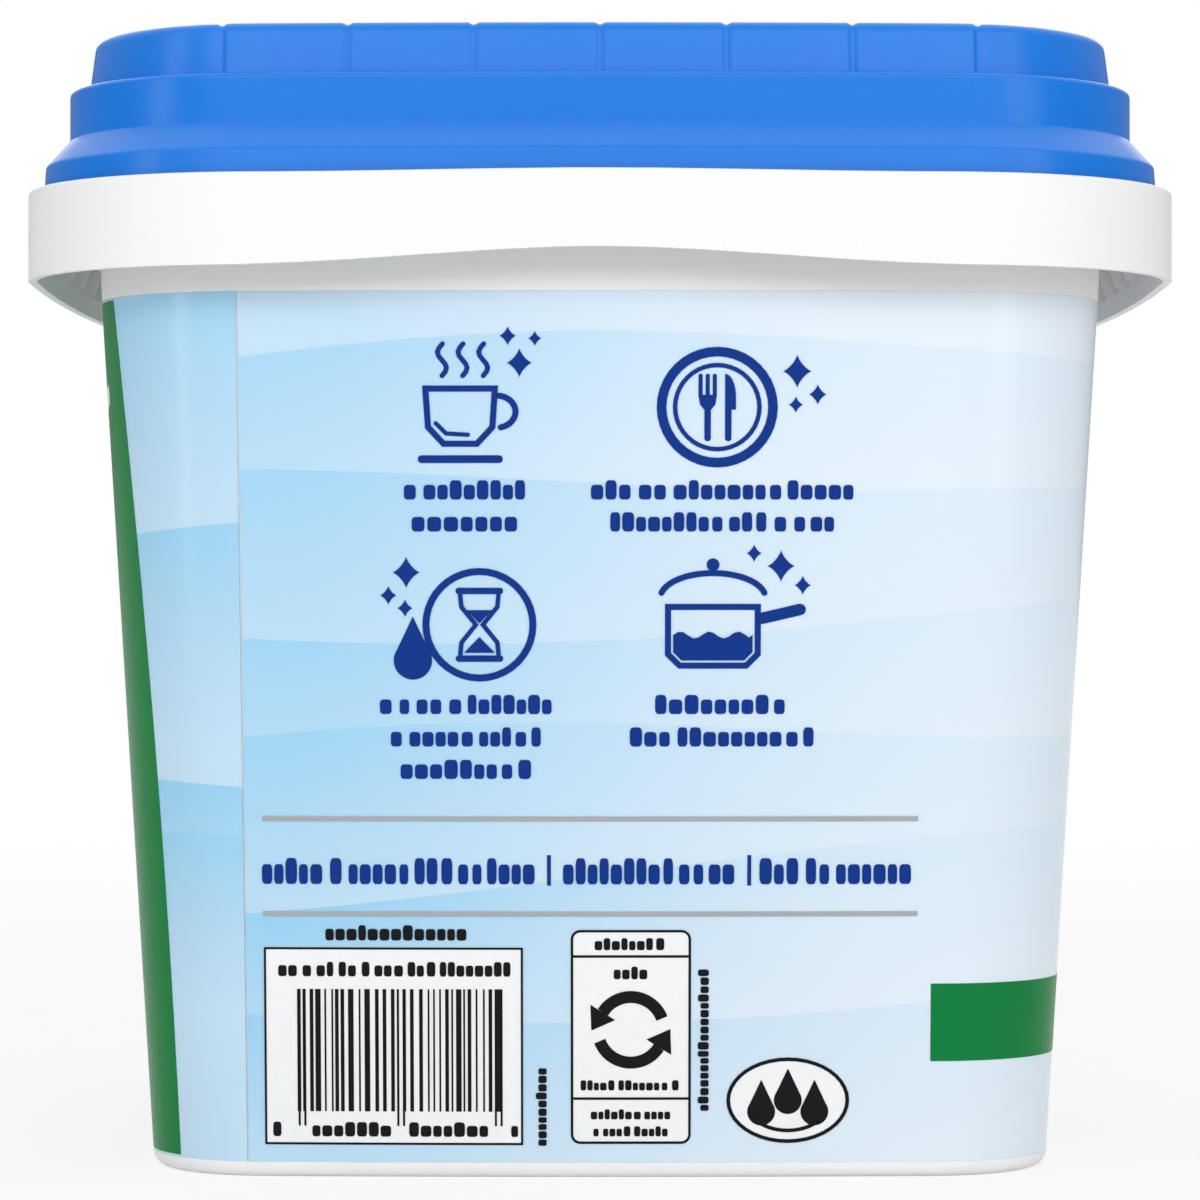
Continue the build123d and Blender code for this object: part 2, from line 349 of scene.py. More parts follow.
# --- Nodes ---
class Value:
    """A socket that carries a number, a vector or a colour. An expression on numbers adds
    Math nodes."""

    def __init__(self, graph, socket):
        self.graph = graph
        self.socket = socket

    def __add__(self, other):
        return self.graph.math("ADD", self, other)

    def __radd__(self, other):
        return self.graph.math("ADD", other, self)

    def __sub__(self, other):
        return self.graph.math("SUBTRACT", self, other)

    def __rsub__(self, other):
        return self.graph.math("SUBTRACT", other, self)

    def __mul__(self, other):
        return self.graph.math("MULTIPLY", self, other)

    def __rmul__(self, other):
        return self.graph.math("MULTIPLY", other, self)

    def __truediv__(self, other):
        return self.graph.math("DIVIDE", self, other)

    def __rtruediv__(self, other):
        return self.graph.math("DIVIDE", other, self)

    def __gt__(self, other):
        return self.graph.math("GREATER_THAN", self, other)

    def __lt__(self, other):
        return self.graph.math("LESS_THAN", self, other)

    def least(self, other):
        return self.graph.math("MINIMUM", self, other)

    def most(self, other):
        return self.graph.math("MAXIMUM", self, other)


class Graph:
    """The nodes of one material or one geometry tree."""

    def __init__(self, tree):
        self.tree = tree

    def node(self, kind, choices=None, inputs=None, output=0):
        """Add a node. Its choices are set first, then its sockets' values or links."""
        node = self.tree.nodes.new(kind)
        for name, value in (choices or {}).items():
            setattr(node, name, value)
        for name, value in (inputs or {}).items():
            if isinstance(value, Value):
                self.tree.links.new(value.socket, node.inputs[name])
            else:
                node.inputs[name].default_value = value
        return Value(self, node.outputs[output]) if node.outputs else node

    def math(self, operation, *values):
        """A Math node on these numbers."""
        return self.node("ShaderNodeMath", {"operation": operation}, dict(enumerate(values)))

    def mix(self, share, low, high):
        """A colour between two colours."""
        low, high = (v if isinstance(v, Value) else (*v, 1) for v in (low, high))
        return self.node("ShaderNodeMix", {"data_type": "RGBA"}, {0: share, 6: low, 7: high}, 2)

    def ease(self, value, low, high):
        """A smooth rise from 0 to 1 as a value goes from low to high."""
        choices = {"interpolation_type": "SMOOTHSTEP"}
        return self.node("ShaderNodeMapRange", choices, {0: value, 1: low, 2: high})

    def place(self):
        """The place on the piece, in metres."""
        return self.node("ShaderNodeTexCoord", output="Object")

    def split(self, vector):
        """A vector's three parts."""
        node = self.node("ShaderNodeSeparateXYZ", None, {0: vector}).socket.node
        return [Value(self, socket) for socket in node.outputs]

    def stretch(self, vector, scale):
        """A vector with each part multiplied."""
        return self.node("ShaderNodeMapping", None, {"Vector": vector, "Scale": scale})

    def noise(self, place, scale, detail=2.0):
        """Soft random variation from 0 to 1."""
        inputs = {"Vector": place, "Scale": scale, "Detail": detail}
        return self.node("ShaderNodeTexNoise", None, inputs)

    def bump(self, height, depth):
        """A normal that follows a height from 0 to 1 over a depth in metres."""
        return self.node("ShaderNodeBump", None, {"Height": height, "Distance": depth})


class Tree(Graph):
    """A Geometry Nodes tree with named inputs."""

    def __init__(self, name, **inputs):
        super().__init__(bpy.data.node_groups.new(name, "GeometryNodeTree"))
        face = self.tree.interface
        for label, kind in {"Geometry": "Geometry", "Material": "Material", **inputs}.items():
            face.new_socket(label.replace("_", " "), in_out="INPUT", socket_type="NodeSocket" + kind)
        face.new_socket("Geometry", in_out="OUTPUT", socket_type="NodeSocketGeometry")
        self.start = self.tree.nodes.new("NodeGroupInput")

    def input(self, label):
        """What a named input carries."""
        return Value(self, self.start.outputs[label])

    def attribute(self, label, kind="FLOAT"):
        """An attribute stored on the mesh."""
        return self.node("GeometryNodeInputNamedAttribute", {"data_type": kind}, {"Name": label})

    def random(self, low, high, seed):
        """A random number for each point."""
        inputs = {2: low, 3: high, "Seed": seed}
        return self.node("FunctionNodeRandomValue", {"data_type": "FLOAT"}, inputs, 1)

    def close(self, geometry):
        """End the tree: real geometry, in its material."""
        real = self.node("GeometryNodeRealizeInstances", None, {"Geometry": geometry})
        inputs = {"Geometry": real, "Material": self.input("Material")}
        done = self.node("GeometryNodeSetMaterial", None, inputs)
        self.node("NodeGroupOutput", None, {"Geometry": done})

    def apply(self, piece, **values):
        """Run the tree on a piece with these input values, and bake the result."""
        modifier = piece.modifiers.new(self.tree.name, "NODES")
        modifier.node_group = self.tree
        names = {label.replace("_", " "): value for label, value in values.items()}
        for item in self.tree.interface.items_tree:
            if item.in_out == "INPUT" and item.name in names:
                modifier[item.identifier] = names[item.name]
        return bake(piece)


# --- Materials ---
def fresh_graph(owner):
    """The emptied node tree of a material or a world."""
    owner.use_nodes = True
    owner.node_tree.nodes.clear()
    return Graph(owner.node_tree)


def new_material(name, varying, **constant):
    """A material on one Principled shader: varying gives the inputs that change over it."""
    material = bpy.data.materials.new(name)
    graph = fresh_graph(material)
    inputs = {**constant, **varying(graph)}
    shader = graph.node("ShaderNodeBsdfPrincipled", None, inputs)
    graph.node("ShaderNodeOutputMaterial", None, {"Surface": shader})
    return material


def shade(colour_value, share):
    """A colour darkened to a share of its light."""
    return [v * share for v in colour_value]


def lid_plastic():
    """Satin blue moulded plastic: slight flow clouds, fine grain, and rubbed highlights."""

    def varying(graph):
        place = graph.place()
        cloud = graph.noise(graph.stretch(place, (1, 1, 3)), 16, 3)
        grain = graph.noise(place, 2400, 2)
        blue = settings().colours.lid_blue
        return {
            "Base Color": graph.mix(cloud * 0.25, blue, shade(blue, 0.88)),
            "Roughness": 0.27 + cloud * 0.08,
            "Normal": graph.bump(grain + cloud * 0.6, 0.00002),
        }

    return new_material("lid_plastic", varying, **{"Specular IOR Level": 0.28})


def tub_plastic():
    """White moulded plastic with a fine grain and slightly glossier patches."""

    def varying(graph):
        place = graph.place()
        cloud = graph.noise(graph.stretch(place, (1, 1, 2)), 14, 3)
        grain = graph.noise(place, 2000, 2)
        white = settings().colours.tub_white
        return {
            "Base Color": graph.mix(cloud * 0.5, white, shade(white, 0.965)),
            "Roughness": 0.38 + cloud * 0.12,
            "Normal": graph.bump(grain + cloud * 0.5, 0.00002),
        }

    return new_material("tub_plastic", varying, **{"Specular IOR Level": 0.3})


# Each wave of the label's ground: height at the seam, rise and swing per metre of run,
# swings per metre, where a swing starts, how far it fades downwards and how strong it is.
WAVES = (
    (0.128, 0.030, 0.0040, 26, 0.4, 0.030, 0.34),
    (0.108, 0.052, 0.0050, 21, 2.2, 0.040, 0.40),
    (0.090, 0.018, 0.0060, 17, 4.0, 0.034, 0.44),
    (0.066, 0.060, 0.0045, 24, 1.1, 0.036, 0.46),
    (0.047, 0.026, 0.0055, 19, 5.2, 0.030, 0.50),
    (0.026, 0.048, 0.0040, 22, 3.1, 0.028, 0.46),
)


def label_film():
    """Glossy printed film with soft printed waves. Its ground goes from sky blue round the seam and
    the left corner to pale mist across the front. This blend is partly the print's own and partly
    painted shade at the left and painted light towards the right.
    """

    def varying(graph):
        run, height, _ = graph.split(graph.node("ShaderNodeUVMap", {"uv_map": "wrap"}))
        run, height = run * WRAP_UNIT, height * WRAP_UNIT
        place = graph.place()
        wave = 0.0
        for base, rise, swing, pace, start, fade, strength in WAVES:
            edge = base + run * rise + graph.math("SINE", run * pace + start) * swing
            below = edge - height
            inside = graph.ease(below, 0, 0.0004)
            tone = inside * (1 - below / fade).most(0.0) * strength
            wave = tone.most(wave)
        # The ground is bluer and darker round the seam and the left corner and paler towards the
        # right. This is partly the print's own blend and partly painted shade at the left and
        # painted light at the right.
        pale = graph.ease(run, 0.0, 0.13) - graph.ease(run, 0.42, 0.52)
        blue = (wave + (1 - pale) * 0.5).least(1.0) * (1 - pale * 0.6)
        cloud = graph.noise(place, 30, 2)
        grain = graph.noise(place, 900, 2)
        tones = settings().colours
        return {
            "Base Color": graph.mix(blue + cloud * 0.04, tones.mist, tones.sky),
            "Roughness": 0.2 + cloud * 0.06,
            "Normal": graph.bump(grain, 0.000008),
        }

    return new_material("label_film", varying, **{"Specular IOR Level": 0.22})


def ink_finish(name, tone, roughness=0.3, metallic=0.0):
    """A printed ink: nearly even, with the faint mottle of a press."""

    def varying(graph):
        mottle = graph.noise(graph.place(), 700, 3)
        return {
            "Base Color": graph.mix(mottle * 0.5, tone, shade(tone, 0.86)),
            "Roughness": roughness + mottle * 0.08,
        }

    return new_material(name, varying, **{"Specular IOR Level": 0.14, "Metallic": metallic})


def tablet_film():
    """Clear film over pressed powder, with two gel chambers on top."""

    def varying(graph):
        spot = graph.node("ShaderNodeAttribute", {"attribute_name": "spot"}, output="Vector")
        along, aside, up = graph.split(spot)
        place = graph.place()
        specks = graph.ease(graph.noise(place, 1500, 2), 0.58, 0.66)
        crumbs = graph.noise(place, 500, 4)
        tones = settings().colours
        powder = graph.mix(crumbs, tones.powder, shade(tones.powder, 0.8))
        powder = graph.mix(specks * 0.8, powder, tones.gel_blue)
        bean = along * along * 1.6 + aside * aside * 2.2
        gel = graph.mix(graph.ease(along, -0.06, 0.06), tones.gel_blue, tones.gel_green)
        chamber = graph.ease(up, 0.62, 0.68) * (1 - graph.ease(bean, 0.66, 0.74))
        wrinkle = graph.noise(place, 260, 3)
        return {
            "Base Color": graph.mix(chamber, powder, gel),
            "Roughness": 0.34 - chamber * 0.2 + crumbs * 0.1,
            "Normal": graph.bump(wrinkle + crumbs * 0.4, 0.0004),
        }

    return new_material("tablet_film", varying, IOR=1.45)


def floor_paint():
    """A plain pale floor that the camera and reflections see nearly white, with its shadow."""
    material = bpy.data.materials.new("floor_paint")
    graph = fresh_graph(material)
    pale = settings().colours.floor
    cloud = graph.noise(graph.place(), 3, 2)
    tone = graph.mix(cloud * 0.2, pale, shade(pale, 0.99))
    paint = graph.node("ShaderNodeBsdfDiffuse", None, {"Color": tone})
    white = graph.node("ShaderNodeEmission", None, {"Color": (1, 1, 1, 1)})
    far = graph.node("ShaderNodeVectorMath", {"operation": "LENGTH"}, {0: graph.place()}, "Value")
    camera, glossy, clear = seen_by(graph)
    share = camera.most(glossy).most(clear) * (0.8 + graph.ease(far, 0.3, 1.1) * 0.2)
    mixed = graph.node("ShaderNodeMixShader", None, {0: share, 1: paint, 2: white})
    graph.node("ShaderNodeOutputMaterial", None, {"Surface": mixed})
    return material


def seen_by(graph):
    """Three shares that are 1 for what the camera, a reflection and a clear surface see."""
    rays = graph.node("ShaderNodeLightPath").socket.node.outputs
    names = ("Is Camera Ray", "Is Glossy Ray", "Is Transmission Ray")
    return [Value(graph, rays[name]) for name in names]


# --- Lid ---
def lid_section(wall):
    """The lid's section, from under the middle of its top, down inside and up outside."""
    sizes = settings().lid
    thick = sizes.wall
    top, skirt_low, band = LID_HIGH.z, LID_LOW.z, LID_HIGH.x
    ledge = top - sizes.tier_height
    under = ledge - thick
    mid = band - sizes.shoulder_run
    foot = mid - sizes.tier_step
    tip = foot - sizes.tier_lean
    high = ledge - sizes.mid_band
    low = high - sizes.shoulder
    drop = thick * math.tan(math.atan2(sizes.shoulder_run, sizes.shoulder) / 2)
    plug_low = under - sizes.plug_depth
    plug = wall.half(plug_low) - sizes.plug_gap
    panel = top - sizes.recess_depth - thick
    recess = sizes.recess_half
    inner_foot = foot - thick - sizes.tier_lean * thick / sizes.tier_height
    fine, small = 0.2 * MM, 0.4 * MM
    inside = section(
        [
            (recess, panel, 0),
            (recess + thick, panel, fine),
            (recess + thick, top - thick, small),
            (tip - thick, top - thick, 2 * small),
            (inner_foot, ledge, 0),
            (plug - sizes.plug_wall, ledge, fine),
            (plug - sizes.plug_wall, plug_low, fine),
            (plug, plug_low, small),
            (plug, under, fine),
            (mid - thick, under, small),
            (mid - thick, high - drop, fine),
            (band - sizes.band_flare - thick, low - drop, fine),
            (band - thick, skirt_low, 0),
        ],
        steps=3,
    )
    outside = section(
        [
            (band - thick / 2, skirt_low, 0),
            (band, skirt_low, fine),
            (band - sizes.band_flare, low, sizes.shoulder_round),
            (mid, high, small),
            (mid, ledge, sizes.ledge_round),
            (foot, ledge, small),
            (tip, top, sizes.tier_round),
            (foot - sizes.groove_run + 2 * small, top, 0),
            (foot - sizes.groove_run, top, 0),
            (recess + sizes.recess_slope, top, fine),
            (recess, top - sizes.recess_depth, small),
            (recess - small, top - sizes.recess_depth, 0),
        ],
        steps=6,
        hold=0.15 * MM,
    )
    return inside + outside, ledge, foot


def groove_tree():
    """Dents the lid's tier at an even pitch and swells the panels between the grooves."""
    tree = Tree(
        "lid_grooves",
        Pitch="Float",
        Outermost="Float",
        Half_width="Float",
        Depth="Float",
        Swell="Float",
    )
    across = tree.attribute("across")
    pitch, outermost = tree.input("Pitch"), tree.input("Outermost")
    nearest = tree.math("ROUND", across / pitch) * pitch
    nearest = nearest.most(0 - outermost).least(outermost)
    away = tree.math("ABSOLUTE", across - nearest)
    turn = (away / tree.input("Half width")).least(1.0) * math.pi
    dent = (tree.math("COSINE", turn) + 1) * 0.5 * tree.input("Depth")
    arch = (away / pitch).least(0.5) * math.pi
    inside = tree.math("ABSOLUTE", across) < outermost
    inwards = tree.attribute("inwards", "FLOAT_VECTOR")
    upright = 1 - tree.math("ABSOLUTE", tree.split(inwards)[2])
    swell = tree.math("SINE", arch) * tree.input("Swell") * inside * upright
    inputs = {"Vector": inwards, "Scale": dent - swell}
    shift = tree.node("ShaderNodeVectorMath", {"operation": "SCALE"}, inputs)
    moved = tree.node(
        "GeometryNodeSetPosition", None, {"Geometry": tree.input("Geometry"), "Offset": shift}
    )
    tree.close(moved)
    return tree


def make_lid():
    """The lid as one closed moulding, with its grooves."""
    wall = Wall()
    sizes = settings().lid
    path, ledge, foot = lid_section(wall)
    outermost = (sizes.grooves - 1) / 2 * sizes.groove_pitch
    shares = (0, 0.17, 0.33, 0.5, 0.66, 0.83, 1, 1.25)  # Of a groove's half width
    steps = {side * share * sizes.groove_half for side in (-1, 1) for share in shares}
    offsets = [
        wall.run_at(foot, middle + step)
        for middle in spread(sizes.grooves, sizes.groove_pitch)
        for step in steps
    ]
    fine = [(side * wall.side + offset) % wall.round for side in range(4) for offset in offsets]
    plain = [run % wall.round for run in wall.stops(BOW_STEP, CORNER_STEPS["lid"])]
    keep_off = 0.7 * MM
    plain = [run for run in plain if min(abs(run - stop) for stop in fine) > keep_off]
    runs = sorted(fine + plain)
    mesh = bmesh.new()
    across = mesh.verts.layers.float.new("across")
    inwards = mesh.verts.layers.float_vector.new("inwards")
    rows = lathe(mesh, wall, runs, path)
    slightly, tier_foot = 0.01 * MM, 0.6 * MM
    first = len(rows) // 3
    for i, row in enumerate(rows[:-1]):
        half, z = path[i]
        if i < first or z < ledge - slightly:
            continue
        if not foot - sizes.groove_run + slightly <= half <= foot + slightly:
            continue
        if z < ledge + tier_foot:
            normal = Vector((-1, 0))
        else:
            along = path[i + 1] - path[i - 1]
            normal = Vector((-along.y, along.x)).normalized()
        for vert, run in zip(row, runs):
            _, out = wall.ray(run)
            vert[across] = wall.across(run, half)
            vert[inwards] = out * normal.x + Vector((0, 0, normal.y))
    lid = new_piece("lid_shell", mesh)
    groove_tree().apply(
        lid,
        Material=lid_plastic(),
        Pitch=sizes.groove_pitch,
        Outermost=outermost,
        Half_width=sizes.groove_half,
        Depth=sizes.groove_depth,
        Swell=sizes.swell,
    )
    lid.data.shade_smooth()
    lid.data.set_sharp_from_angle(angle=math.radians(35))
    return lid


# --- Label ---
def label_runs(wall):
    """Where the label has a fold line: from one side of its seam round to the other."""
    sizes = settings().print
    seam = wall.run_at(wall.half(0), sizes.seam)
    start, end = seam + sizes.seam_gap / 2, seam + wall.round - sizes.seam_gap / 2
    near = 0.2 * MM
    turn = wall.stops(BOW_STEP, CORNER_STEPS["label"])
    folds = turn + [run + wall.round for run in turn]
    return [start] + [run for run in folds if start + near < run < end - near] + [end]


def make_label():
    """The wrapped film as one closed sheet, with its run and height kept as UVs."""
    wall = Wall()
    sizes = settings().print
    runs = label_runs(wall)
    low, high = LABEL_LOW.z, LABEL_HIGH.z
    bevel = 0.06 * MM
    loop = [(low, -sizes.film), (low, -bevel), (low + bevel, 0)]
    loop += [(low + high - z, lift) for z, lift in reversed(loop)]
    mesh = bmesh.new()
    wrap = mesh.loops.layers.uv.new("wrap")
    rings = [[mesh.verts.new(wall.on(run, z, lift)) for z, lift in loop] for run in runs]
    count = len(loop)
    uv = {}
    for ring, run in zip(rings, runs):
        for vert, (z, _) in zip(ring, loop):
            uv[vert] = ((run - runs[0]) / WRAP_UNIT, z / WRAP_UNIT)
    for left, right in zip(rings, rings[1:]):
        for i in range(count):
            j = (i + 1) % count
            mesh.faces.new((left[i], right[i], right[j], left[j]))
    mesh.faces.new(rings[0])
    mesh.faces.new(rings[-1][::-1])
    for face in mesh.faces:
        for corner in face.loops:
            corner[wrap].uv = uv[corner.vert]
    return new_piece("label_wrap", mesh, label_film(), sharp=30)


# --- Print ---
# Each ink's colour, roughness and metallic share, and how many steps it lies above the film.
INKS = {
    "navy": ("navy", 0.30, 0.0, 2.4),
    "black": ("black", 0.30, 0.0, 2.4),
    "white": ("paper", 0.32, 0.0, 1.0),
    "silver": ("silver", 0.30, 0.7, 1.6),
    "green": ("green", 0.30, 0.0, 1.0),
    "pale": ("paper", 0.32, 0.0, 1.9),
}
BAND_START = 52.1  # Run at which the green band starts, in millimetres


def arc(x, z, wide, high, start=0, end=360, steps=40):
    """Points on an ellipse from one angle to another, in degrees."""
    places = []
    count = steps if end - start >= 360 else steps + 1
    for i in range(count):
        angle = math.radians(start + (end - start) * i / steps)
        places.append((x + wide * math.cos(angle), z + high * math.sin(angle)))
    return places


def box_outline(left, low, right, high, corner=0.0, steps=6):
    """A rectangle's outline with rounded corners."""
    if not corner:
        return [(left, low), (right, low), (right, high), (left, high)]
    places = []
    for x, z, start in (
        (right - corner, high - corner, 0),
        (left + corner, high - corner, 90),
        (left + corner, low + corner, 180),
        (right - corner, low + corner, 270),
    ):
        places += arc(x, z, corner, corner, start, start + 90, steps)
    return places


class Ink:
    """Flat printed shapes of one colour on a plan of the wall, in millimetres: run across
    and height up, from an origin. They become thin solids when they are laid on the wall."""

    def __init__(self, pen=1.0):
        self.plan = bmesh.new()
        self.pen = pen
        self.origin = (0.0, 0.0)

    def shape(self, outline, *holes):
        """A filled outline with holes."""
        x0, z0 = self.origin
        loops = [[Vector((x0 + x, z0 + z, 0)) for x, z in loop] for loop in (outline, *holes)]
        corners = [self.plan.verts.new(point) for loop in loops for point in loop]
        for triangle in tessellate_polygon(loops):
            face = self.plan.faces.new([corners[i] for i in triangle])
            face.normal_update()
            if face.normal.z < 0:
                face.normal_flip()

    def ring(self, x, z, radius, width, high=None):
        """A round ring, or an oval one with its own half height."""
        high = high or radius
        self.shape(arc(x, z, radius, high), arc(x, z, radius - width, high - width))

    def box(self, left, low, right, high, corner=0.0):
        """A filled rectangle."""
        self.shape(box_outline(left, low, right, high, corner))

    def frame(self, left, low, right, high, corner, width):
        """An outlined rectangle."""
        inner = (left + width, low + width, right - width, high - width)
        hole = box_outline(*inner, max(corner - width, 0.1))
        self.shape(box_outline(left, low, right, high, corner), hole)

    def line(self, points, share=1.0, closed=False, ends=True):
        """A line through points, a share of the pen wide, closed or with round ends."""
        points = [Vector(point) for point in points]
        width = self.pen * share
        left, right = [], []
        last = len(points) - 1
        for i, here in enumerate(points):
            before = points[i - 1] if i or closed else here
            after = points[(i + 1) % len(points)] if i < last or closed else here
            into = (here - before).normalized() if here != before else (after - here).normalized()
            out = (after - here).normalized() if after != here else into
            middle = (into + out).normalized()
            side = Vector((-middle.y, middle.x)) * (width / 2 / max(middle.dot(out), 0.5))
            left.append(here + side)
            right.append(here - side)
        if closed:
            inner, outer = sorted((left, right), key=lambda loop: max(p.x for p in loop))
            self.shape(outer, inner)
            return
        outline = list(right)
        if ends:
            outline += self.cap(points[-1], points[-1] - points[-2], width)
        outline += reversed(left)
        if ends:
            outline += self.cap(points[0], points[0] - points[1], width)
        self.shape(outline)

    def cap(self, end, direction, width):
        """The inner points of a half circle round a line's end, from its right to its left."""
        start = math.degrees(math.atan2(direction.y, direction.x)) - 90
        return arc(end.x, end.y, width / 2, width / 2, start, start + 180, 8)[1:-1]

    def sparkles(self, *stars):
        """Four-pointed stars with hollow sides, each by its middle and its height."""
        for x, z, high in stars:
            places = []
            for i in range(32):
                angle = math.radians(360 * i / 32)
                c, s = math.cos(angle), math.sin(angle)
                places.append(
                    (x + 0.43 * high * c * abs(c) ** 1.7, z + 0.5 * high * s * abs(s) ** 1.7)
                )
            self.shape(places)

    def drop(self, x, z, radius):
        """A filled water drop."""
        self.shape([*arc(x, z, radius, radius, 145, 395, 24), (x, z + radius * 2.3)])

    def take(self, mesh, x, z, upright=False):
        """Add the flat faces of a mesh made in millimetres round its own origin."""
        for polygon in mesh.polygons:
            corners = [mesh.vertices[i].co for i in polygon.vertices]
            self.shape([(x - c.y, z + c.x) if upright else (x + c.x, z + c.y) for c in corners])

    def lay(self, name, material, level, wall, runs):
        """The shapes as thin solids on the wall, cut where the label folds."""
        sizes = settings().print
        plan = self.plan
        reach = [vert.co.x for vert in plan.verts]
        for run in runs:
            fold = run / MM
            if min(reach) < fold < max(reach):
                parts = plan.verts[:] + plan.edges[:] + plan.faces[:]
                bmesh.ops.bisect_plane(
                    plan, geom=parts, dist=1e-4, plane_co=(fold, 0, 0), plane_no=(1, 0, 0)
                )
        solid = bmesh.new()
        low = level * sizes.level
        under, over = (
            {v: solid.verts.new(wall.on(v.co.x * MM, v.co.y * MM, lift)) for v in plan.verts}
            for lift in (low, low + sizes.ink)
        )
        for face in plan.faces:
            corners = list(face.verts)
            solid.faces.new([over[v] for v in corners])
            solid.faces.new([under[v] for v in reversed(corners)])
            for loop in face.loops:
                if loop.edge.is_boundary:
                    a, b = loop.vert, loop.link_loop_next.vert
                    solid.faces.new((under[a], under[b], over[b], over[a]))
        plan.free()
        piece = new_piece(name, solid, material, sharp=30)
        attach(piece, "tub")


def row_tree(name, whole):
    """A row of upright blocks of random widths that fills a length.

    Whole blocks have widths and gaps of one to three units, as in a bar code. Others have
    round corners, two heights and wider gaps between words.
    """
    kinds = {"Count": "Int", "Length": "Float", "Height": "Float", "Seed": "Int"}
    tree = Tree(name, **kinds, Word_chance="Float")
    seed = tree.input("Seed")
    height = tree.input("Height")
    if whole:
        width = tree.math("CEIL", tree.random(0.0, 3.0, seed))
        space = tree.math("CEIL", tree.random(0.0, 3.0, seed + 1))
    else:
        width = tree.random(0.72, 1.0, seed)
        word = tree.random(0.0, 1.0, seed + 1) < tree.input("Word chance")
        space = 0.17 + word * 0.5
        tall = tree.random(0.0, 1.0, seed + 2) > 0.66
        height = (0.76 + tall * 0.24) * height
    sums = tree.node("GeometryNodeAccumulateField", {"data_type": "FLOAT"}, {0: width + space}, 1)
    total = Value(tree, sums.socket.node.outputs["Total"])
    unit = tree.input("Length") / (total - space * 0.5)
    middle = (sums + width * 0.5) * unit - tree.input("Length") * 0.5
    points = tree.node("GeometryNodeMeshLine", None, {"Count": tree.input("Count")})
    place = tree.node("ShaderNodeCombineXYZ", None, {"X": middle, "Y": height * 0.5})
    placed = tree.node("GeometryNodeSetPosition", None, {"Geometry": points, "Position": place})
    size = tree.node("ShaderNodeCombineXYZ", None, {"X": width * unit, "Y": height, "Z": 1.0})
    edge = tree.node("GeometryNodeCurvePrimitiveQuadrilateral", None, {0: 1.0, 1: 1.0})
    if not whole:
        inputs = {"Curve": edge, "Radius": 0.26, "Count": 3}
        edge = tree.node("GeometryNodeFilletCurve", {"mode": "POLY"}, inputs)
    block = tree.node("GeometryNodeFillCurve", {"mode": "NGONS"}, {"Curve": edge})
    inputs = {"Points": placed, "Instance": block, "Scale": size}
    tree.close(tree.node("GeometryNodeInstanceOnPoints", None, inputs))
    return tree


class Rows:
    """Makes rows of plain blocks that stand for words, and the bars of a bar code."""

    def __init__(self):
        self.words = row_tree("word_row", whole=False)
        self.bars = row_tree("bar_row", whole=True)
        self.seed = 11

    def row(self, ink, x, z, long, high, count=None, upright=False, words=0.16, bars=False):
        """A row centred across at x that stands on z. An upright one runs up from its middle z."""
        self.seed += 3
        tree = self.bars if bars else self.words
        carrier = new_piece("row", bmesh.new())
        tree.apply(
            carrier,
            Count=count or round(long / high * 1.35),
            Length=float(long),
            Height=float(high),
            Seed=self.seed,
            Word_chance=words,
        )
        ink.take(carrier.data, x, z, upright)
        bpy.data.objects.remove(carrier)


def draw_cup(ink):
    """A cup on a saucer, with steam and sparkles."""
    cup = [(-6.2, 2.4), (4.6, 2.4), (4.2, -3.6), (1.8, -6.2), (-3.4, -6.2), (-5.8, -3.6)]
    ink.line(cup, closed=True)
    ink.line(arc(4.9, -1.2, 2.9, 2.5, -78, 84, 14))
    ink.box(-7.4, -9.2, 5.8, -8.0, 0.55)
    ink.line([(-4.6, -3.0), (-3.0, -4.6), (0.4, -4.8)], 0.7)
    for shift in (-3.6, -0.4, 2.8):
        wisp = [(shift + 0.7 * math.sin(i * 0.8), 4.4 + i * 0.62) for i in range(9)]
        ink.line(wisp, 0.8)
    ink.sparkles((8.4, 6.4, 4.6), (6.6, 10.6, 3.0), (10.8, 10.2, 2.4))


def draw_plate(ink):
    """A plate with a fork and a knife on it, and sparkles."""
    ink.ring(0, 0, 9.4, 1.5)
    ink.ring(0, 0, 6.9, 0.7)
    for x in (-2.6, -1.5, -0.4):
        ink.box(x - 0.32, 1.4, x + 0.32, 5.2, 0.3)
    ink.shape([(-2.7, 0.4), (-1.95, -0.5), (-1.05, -0.5), (-0.3, 0.4), (-0.08, 1.9), (-2.92, 1.9)])
    ink.box(-2.0, -5.3, -1.0, -0.2, 0.45)
    ink.shape([(1.2, -0.4), (2.9, -0.4), *arc(1.2, 1.6, 1.7, 3.6, 0, 90, 8)])
    ink.box(1.2, -5.3, 2.2, -0.1, 0.45)
    ink.sparkles((12.4, 5.6, 5.2), (15.6, 2.0, 3.2), (12.2, 0.4, 2.6))


def draw_timer(ink):
    """An hourglass in a ring, with a water drop beside it, and sparkles."""
    ink.ring(0, 0, 8.9, 1.1)
    for z in (-5.3, 5.3):
        ink.box(-3.7, z - 0.5, 3.7, z + 0.5, 0.45)
    for side in (1, -1):
        glass = [(-3.0, 4.8), (-2.8, 2.8), (-0.55, 0), (-2.8, -2.8), (-3.0, -4.8)]
        ink.line([(side * x, z) for x, z in glass], 0.75, ends=False)
    ink.shape([(-2.0, 2.3), (0, 0.2), (2.0, 2.3)])
    ink.shape([(-2.4, -4.4), (2.4, -4.4), (0, -1.9)])
    ink.drop(-10.4, -5.6, 3.0)
    ink.sparkles((-11.4, 8.2, 5.0), (-14.2, 4.6, 3.0), (-11.6, 2.6, 2.8))


